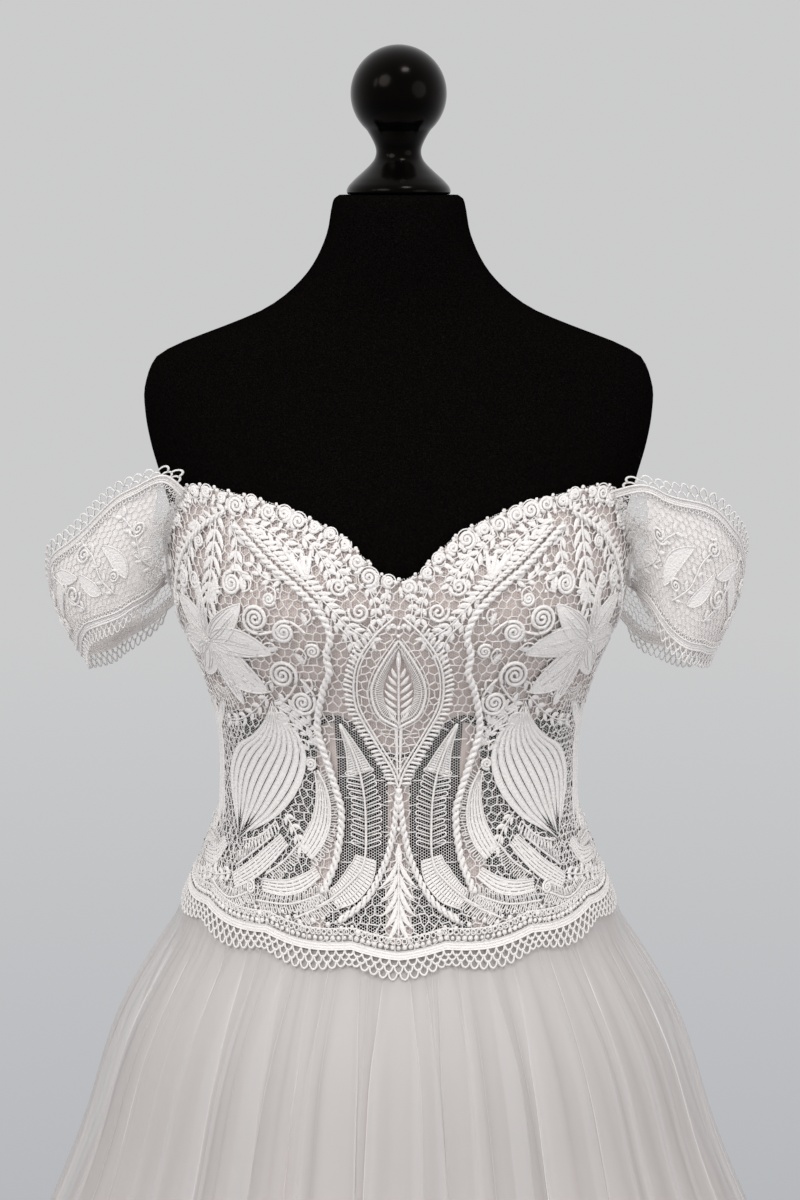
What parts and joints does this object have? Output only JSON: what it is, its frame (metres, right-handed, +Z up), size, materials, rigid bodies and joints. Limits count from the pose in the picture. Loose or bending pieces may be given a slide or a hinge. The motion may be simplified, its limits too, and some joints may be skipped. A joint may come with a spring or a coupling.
{
  "type": "wedding dress on dress form",
  "caption": "Off-the-shoulder corset wedding dress with a corded lace bodice and a gathered tulle skirt, on a limbless black dress form.",
  "frame": {"origin": "on the floor at the bottom centre of the part, under the pole's axis", "axes": "+Z up, the dress faces -Y, +X to the viewer's right as seen from the front"},
  "size_m": [1.196, 1.196, 1.6417],
  "materials": {
    "form_jersey": "near-black stretch jersey, matt",
    "black_lacquer": "turned wood in gloss black lacquer",
    "black_metal": "satin black paint",
    "lace": "ivory corded guipure lace, open between its cords",
    "net": "sheer ivory hexagonal net",
    "nude_lining": "nude mesh, matt",
    "tulle": "sheer ivory soft tulle",
    "blush_lining": "blush satin-backed lining",
    "covered_button": "satin-covered"
  },
  "bodies": {
    "root": {"form_torso": "form_jersey", "form_finial": "black_lacquer", "form_base": "black_metal", "form_pole": "black_metal", "bodice_lace_front": "lace", "bodice_net_front": "net", "hem_trim_front": "lace", "bodice_lace_back_left": "lace", "bodice_net_back_left": "net", "hem_trim_back_left": "lace", "bodice_lace_back_right": "lace", "bodice_net_back_right": "net", "hem_trim_back_right": "lace", "cup_lining_left": "nude_lining", "cup_lining_right": "nude_lining", "boning_center": "nude_lining", "boning_left": "nude_lining", "boning_right": "nude_lining", "button_1": "covered_button", "button_2": "covered_button", "button_3": "covered_button", "button_4": "covered_button", "button_5": "covered_button", "button_6": "covered_button", "button_7": "covered_button", "button_8": "covered_button", "button_9": "covered_button", "sleeve_lace_left": "lace", "sleeve_lining_left": "nude_lining", "sleeve_lace_right": "lace", "sleeve_lining_right": "nude_lining", "skirt_tulle_front": "tulle", "skirt_lining_front": "blush_lining", "skirt_tulle_side_front_right": "tulle", "skirt_lining_side_front_right": "blush_lining", "skirt_tulle_side_back_right": "tulle", "skirt_lining_side_back_right": "blush_lining", "skirt_tulle_back": "tulle", "skirt_lining_back": "blush_lining", "skirt_tulle_side_back_left": "tulle", "skirt_lining_side_back_left": "blush_lining", "skirt_tulle_side_front_left": "tulle", "skirt_lining_side_front_left": "blush_lining", "skirt_underlayer_front": "tulle", "skirt_underlayer_back": "tulle"}
  },
  "joints": []
}
